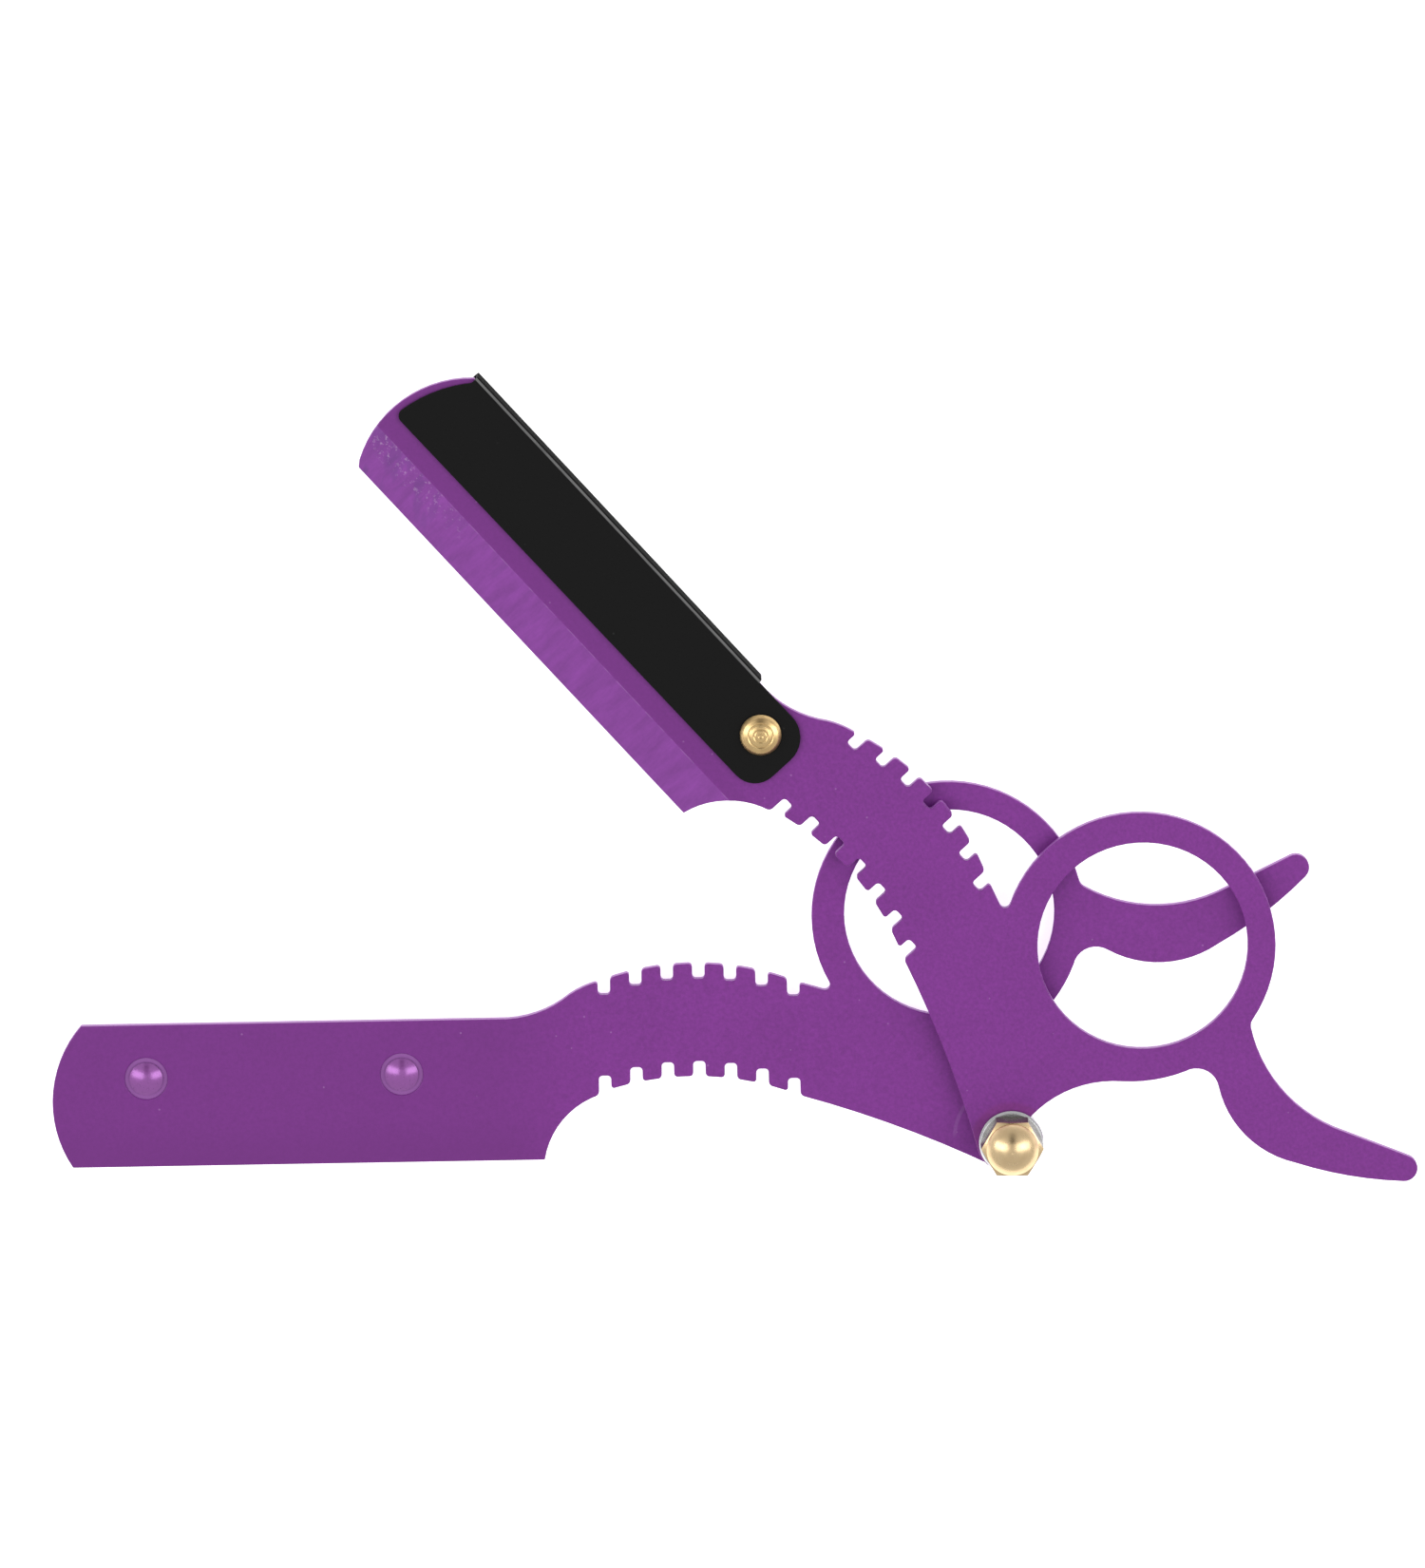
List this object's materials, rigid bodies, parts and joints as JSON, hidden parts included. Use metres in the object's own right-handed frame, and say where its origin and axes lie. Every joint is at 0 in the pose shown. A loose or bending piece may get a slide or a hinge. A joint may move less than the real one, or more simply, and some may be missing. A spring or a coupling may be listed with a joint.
{
  "type": "folding razor blade holder",
  "caption": "Folding barber's razor with scissor handles: finger rings and rests, notched necks, a capped pivot and a swing cover that locks a half blade.",
  "frame": {"origin": "middle of the bounding box in the open pose, at the lowest point, the head of the pivot screw", "axes": "+X from the back leaf's jaw towards the finger rests, +Y from the pivot towards the opened front leaf, +Z out of the front leaf's outer face along the pivot"},
  "size_m": [0.1602, 0.0956, 0.011],
  "materials": {
    "leaf_purple": "satin purple coat on stamped steel",
    "cover_black": "matte black coat on folded steel",
    "turned_brass": "turned and polished",
    "bright_steel": "bright zinc or nickel plate"
  },
  "bodies": {
    "front": {"front_leaf": "leaf_purple", "cover_rivet": "turned_brass", "pivot_screw": "bright_steel", "back_washer": "bright_steel", "leaf_spacer": "bright_steel", "front_washer": "bright_steel", "acorn_nut": "turned_brass"},
    "back": {"back_leaf": "leaf_purple", "blade_peg_tip": "leaf_purple", "blade_peg_heel": "leaf_purple"},
    "cover": {"lock_cover": "cover_black"}
  },
  "joints": [
    {"name": "leaf_pivot", "type": "hinge", "parent": "front", "child": "back", "pos_m": [0.03242, -0.04289, 0.003], "axis": [0, 0, 1], "range_deg": [-48.25, 131.75]},
    {"name": "cover_swing", "type": "hinge", "parent": "front", "child": "cover", "pos_m": [0.00298, 0.00575, 0.0053], "axis": [0, 0, 1], "range_deg": [-70, 0]}
  ]
}
